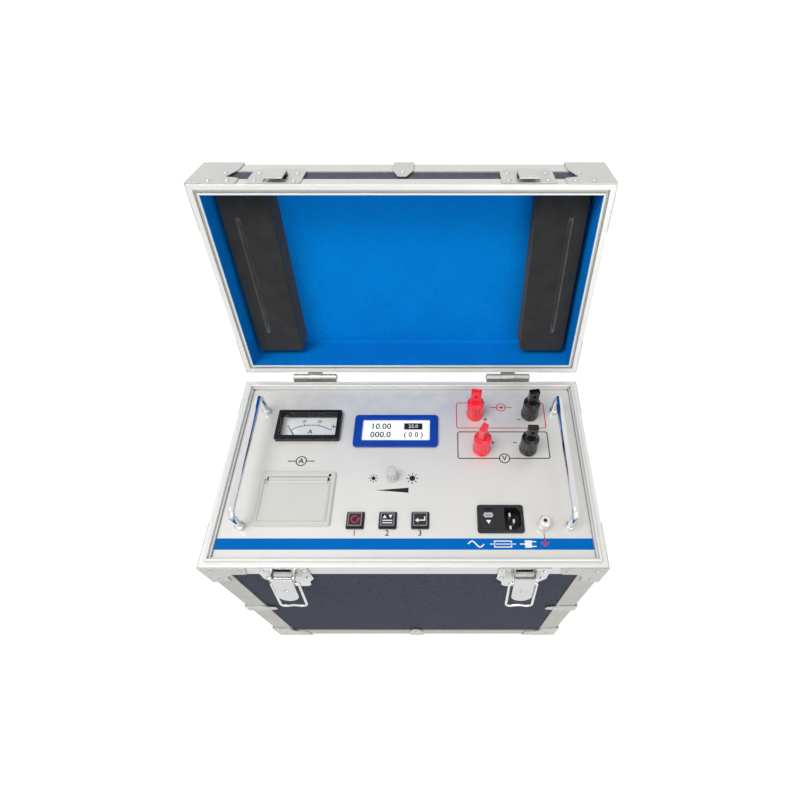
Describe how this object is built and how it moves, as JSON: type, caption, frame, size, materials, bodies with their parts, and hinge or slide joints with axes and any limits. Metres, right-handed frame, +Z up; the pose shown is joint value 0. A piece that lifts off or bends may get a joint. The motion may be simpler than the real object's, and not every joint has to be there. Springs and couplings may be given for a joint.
{
  "type": "ground bond tester",
  "caption": "Portable earth-continuity tester in an aluminium-edged flight case: hinged lined lid, toggle latches, panel with meter, display, printer and screw terminals.",
  "frame": {"origin": "centre of the case's footprint on the surface it stands on", "axes": "+Z up, +X to the user's right, -Y towards the user; the lid stands open at the rear"},
  "size_m": [0.433, 0.3582, 0.5603],
  "materials": {
    "boards": "textured laminate on plywood",
    "profiles": "satin anodised",
    "fittings": "bright zinc",
    "feet": "matt",
    "screws": "zinc",
    "grip": "matt",
    "lining": "flock",
    "foam": "foam",
    "panel": "fine powder coat",
    "chrome": "polished",
    "chassis": "mill",
    "black_plastic": "fine grain",
    "dial": "printed white",
    "clear": "clear",
    "display": "display glass",
    "blue_plastic": "gloss",
    "boards_green": "solder mask",
    "paper": "thermal paper",
    "roller": "ground",
    "mechanism": "plain",
    "printer_plastic": "fine grain",
    "knob": "satin",
    "button": "satin",
    "brass": "turned",
    "red_plastic": "gloss",
    "coil": "wound copper and steel",
    "needle": "painted black"
  },
  "bodies": {
    "case": {"case_wall_boards": "boards", "case_floor_board": "boards", "base_rim_profiles": "profiles", "base_edge_profiles": "profiles", "base_corner_fittings": "fittings", "rubber_feet": "feet", "case_screws": "screws", "hinge_base_leaves": "fittings", "latch_plates": "fittings", "side_handle_brackets": "fittings", "panel_plate": "panel", "panel_handles": "chrome", "chassis_frame": "chassis", "meter_housing": "black_plastic", "meter_window": "clear", "meter_movement": "dial", "lcd_bezel": "blue_plastic", "lcd_window": "display", "circuit_boards": "boards_green", "printer_frame": "printer_plastic", "printer_mechanism": "mechanism", "control_bodies": "black_plastic", "inlet_body": "black_plastic", "inlet_pins": "brass", "terminal_collars_red": "red_plastic", "terminal_collars_black": "black_plastic", "terminal_studs": "brass", "transformer": "coil", "heat_sink": "chassis"},
    "lid": {"lid_boards": "boards", "lid_rim_profiles": "profiles", "lid_edge_profiles": "profiles", "lid_corner_fittings": "fittings", "hinge_lid_leaves": "fittings", "latch_catches": "fittings", "lid_lining": "lining", "lid_pads": "foam"},
    "lever_left": {"latch_lever_left": "fittings"},
    "lever_right": {"latch_lever_right": "fittings"},
    "bail_left": {"latch_bail_left": "fittings"},
    "bail_right": {"latch_bail_right": "fittings"},
    "side_handle_left": {"side_handle_left": "grip"},
    "side_handle_right": {"side_handle_right": "grip"},
    "needle": {"meter_needle": "needle"},
    "printer_door": {"printer_door": "printer_plastic"},
    "platen": {"platen_roller": "roller"},
    "paper_roll": {"paper_roll": "paper"},
    "knob": {"brightness_knob": "knob"},
    "button_left": {"button_left": "button"},
    "button_middle": {"button_middle": "button"},
    "button_right": {"button_right": "button"},
    "fuse_drawer": {"fuse_drawer": "black_plastic"},
    "current_insert_red": {"current_insert_red": "brass"},
    "current_cap_red": {"current_cap_red": "red_plastic"},
    "current_insert_black": {"current_insert_black": "brass"},
    "current_cap_black": {"current_cap_black": "black_plastic"},
    "potential_insert_red": {"potential_insert_red": "brass"},
    "potential_cap_red": {"potential_cap_red": "red_plastic"},
    "potential_insert_black": {"potential_insert_black": "brass"},
    "potential_cap_black": {"potential_cap_black": "black_plastic"}
  },
  "joints": [
    {"name": "lid_hinge", "type": "hinge", "parent": "case", "child": "lid", "pos_m": [0, 0.1201, 0.328], "axis": [-1, 0, 0], "range_deg": [-102.4, 0]},
    {"name": "latch_lever_left", "type": "hinge", "parent": "case", "child": "lever_left", "pos_m": [-0.119, -0.1195, 0.316], "axis": [-1, 0, 0], "range_deg": [0, 150]},
    {"name": "latch_bail_left", "type": "hinge", "parent": "lever_left", "child": "bail_left", "pos_m": [-0.119, -0.12132, 0.30617], "axis": [1, 0, 0], "range_deg": [-175.11, 0]},
    {"name": "side_handle_left", "type": "hinge", "parent": "case", "child": "side_handle_left", "pos_m": [-0.2085, 0, 0.213], "axis": [0, 1, 0], "range_deg": [0, 90]},
    {"name": "latch_lever_right", "type": "hinge", "parent": "case", "child": "lever_right", "pos_m": [0.119, -0.1195, 0.316], "axis": [-1, 0, 0], "range_deg": [0, 150]},
    {"name": "latch_bail_right", "type": "hinge", "parent": "lever_right", "child": "bail_right", "pos_m": [0.119, -0.12132, 0.30617], "axis": [1, 0, 0], "range_deg": [-175.11, 0]},
    {"name": "side_handle_right", "type": "hinge", "parent": "case", "child": "side_handle_right", "pos_m": [0.2085, 0, 0.213], "axis": [0, -1, 0], "range_deg": [0, 90]},
    {"name": "meter_needle", "type": "hinge", "parent": "case", "child": "needle", "pos_m": [-0.1155, 0.0135, 0.3196], "axis": [0, 0, -1], "range_deg": [0, 66], "stiffness_Nm_per_rad": 0.00002},
    {"name": "printer_door", "type": "hinge", "parent": "case", "child": "printer_door", "pos_m": [-0.117, -0.0204, 0.3262], "axis": [-1, 0, 0], "range_deg": [0, 100]},
    {"name": "paper_roll_spin", "type": "hinge", "parent": "case", "child": "paper_roll", "pos_m": [-0.117, -0.0405, 0.299], "axis": [1, 0, 0], "continuous": true},
    {"name": "platen_spin", "type": "hinge", "parent": "printer_door", "child": "platen", "pos_m": [-0.117, -0.06, 0.3214], "axis": [1, 0, 0], "continuous": true},
    {"name": "brightness_knob", "type": "hinge", "parent": "case", "child": "knob", "pos_m": [-0.0158, -0.0145, 0.325], "axis": [0, 0, 1], "range_deg": [-150, 150]},
    {"name": "fuse_drawer", "type": "slide", "parent": "case", "child": "fuse_drawer", "axis": [0, 0, 1], "range_m": [0, 0.022]},
    {"name": "button_left", "type": "slide", "parent": "case", "child": "button_left", "axis": [0, 0, -1], "range_m": [0, 0.0015], "stiffness_N_per_m": 400, "springref_m": -0.001},
    {"name": "button_middle", "type": "slide", "parent": "case", "child": "button_middle", "axis": [0, 0, -1], "range_m": [0, 0.0015], "stiffness_N_per_m": 400, "springref_m": -0.001},
    {"name": "button_right", "type": "slide", "parent": "case", "child": "button_right", "axis": [0, 0, -1], "range_m": [0, 0.0015], "stiffness_N_per_m": 400, "springref_m": -0.001},
    {"name": "current_red_rise", "type": "slide", "parent": "case", "child": "current_insert_red", "axis": [0, 0, 1], "range_m": [0, 0.005]},
    {"name": "current_red_turn", "type": "hinge", "parent": "current_insert_red", "child": "current_cap_red", "pos_m": [0.07594, 0.0672, 0.325], "axis": [0, 0, 1], "range_deg": [0, 1440]},
    {"name": "current_black_rise", "type": "slide", "parent": "case", "child": "current_insert_black", "axis": [0, 0, 1], "range_m": [0, 0.005]},
    {"name": "current_black_turn", "type": "hinge", "parent": "current_insert_black", "child": "current_cap_black", "pos_m": [0.13994, 0.0672, 0.325], "axis": [0, 0, 1], "range_deg": [0, 1440]},
    {"name": "potential_red_rise", "type": "slide", "parent": "case", "child": "potential_insert_red", "axis": [0, 0, 1], "range_m": [0, 0.005]},
    {"name": "potential_red_turn", "type": "hinge", "parent": "potential_insert_red", "child": "potential_cap_red", "pos_m": [0.08194, 0.0209, 0.325], "axis": [0, 0, 1], "range_deg": [0, 1440]},
    {"name": "potential_black_rise", "type": "slide", "parent": "case", "child": "potential_insert_black", "axis": [0, 0, 1], "range_m": [0, 0.005]},
    {"name": "potential_black_turn", "type": "hinge", "parent": "potential_insert_black", "child": "potential_cap_black", "pos_m": [0.13394, 0.0209, 0.325], "axis": [0, 0, 1], "range_deg": [0, 1440]}
  ],
  "couplings": [
    {"joint": "platen_spin", "follows": "paper_roll_spin", "ratio": -5},
    {"joint": "current_red_rise", "follows": "current_red_turn", "m_per_rad": 0.00019894},
    {"joint": "current_black_rise", "follows": "current_black_turn", "m_per_rad": 0.00019894},
    {"joint": "potential_red_rise", "follows": "potential_red_turn", "m_per_rad": 0.00019894},
    {"joint": "potential_black_rise", "follows": "potential_black_turn", "m_per_rad": 0.00019894}
  ]
}
